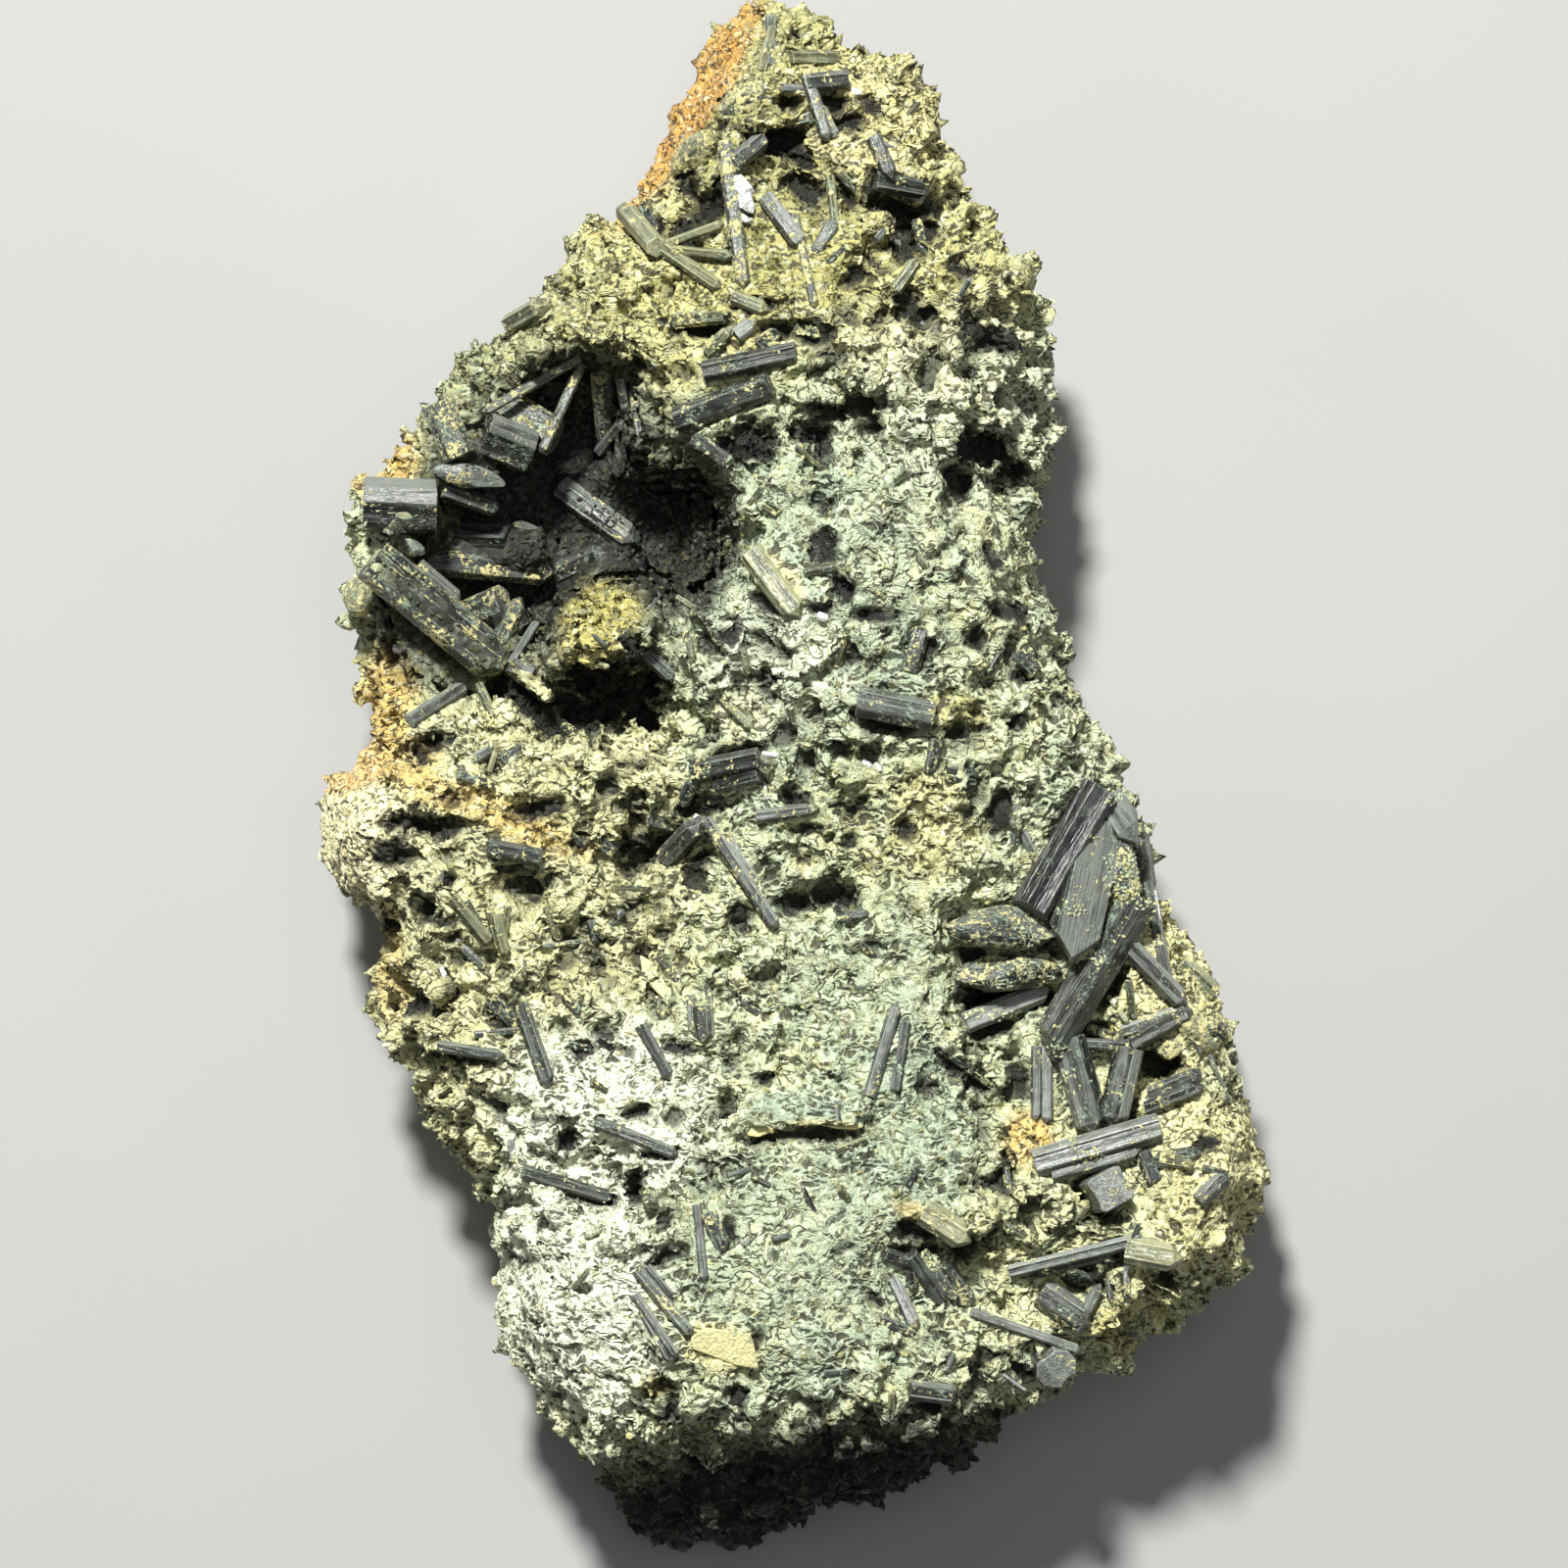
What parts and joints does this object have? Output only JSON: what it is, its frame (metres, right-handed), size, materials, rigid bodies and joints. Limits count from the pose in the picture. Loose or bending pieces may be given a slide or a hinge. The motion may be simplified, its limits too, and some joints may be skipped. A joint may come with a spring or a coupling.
{
  "type": "mineral specimen",
  "caption": "Slab of granular green matrix with dark striated epidote blades and prisms, a crystal-lined pocket on one side and a narrow tip.",
  "frame": {"origin": "under the middle of the bounding box, on the broken back that the slab lies on", "axes": "+Z out of the crystal face, +Y along the slab towards its narrow tip, +X to the picture's right"},
  "size_m": [0.0928, 0.1514, 0.0426],
  "materials": {
    "matrix": "rough granular druse, yellow to grey-green with ochre stains",
    "crust": "dark crystals and crust in the pocket, half glossy",
    "dark": "nearly black striated crystal, vitreous",
    "grey": "grey striated crystal, vitreous",
    "olive": "olive crystal, half glossy",
    "white": "white bead, half glossy"
  },
  "bodies": {
    "root": {"matrix": "matrix", "pocket_crust": "crust", "blade_cluster": "dark", "cross_prism": "grey", "square_prism": "grey", "upper_lens": "dark", "lower_lens": "dark", "pale_rod": "grey", "long_rod": "olive", "low_cluster": "dark", "low_end_prism": "grey", "short_prism": "dark", "middle_prisms": "dark", "middle_blade": "grey", "middle_stub": "dark", "ridge_prism": "dark", "left_prism": "dark", "left_blade": "dark", "lower_blades": "grey", "top_blade": "grey", "white_grain": "white", "stacked_prisms": "dark", "top_pair": "grey", "fan_prisms": "olive", "olive_block": "olive", "band_prism": "dark", "band_blade": "dark"}
  },
  "joints": []
}
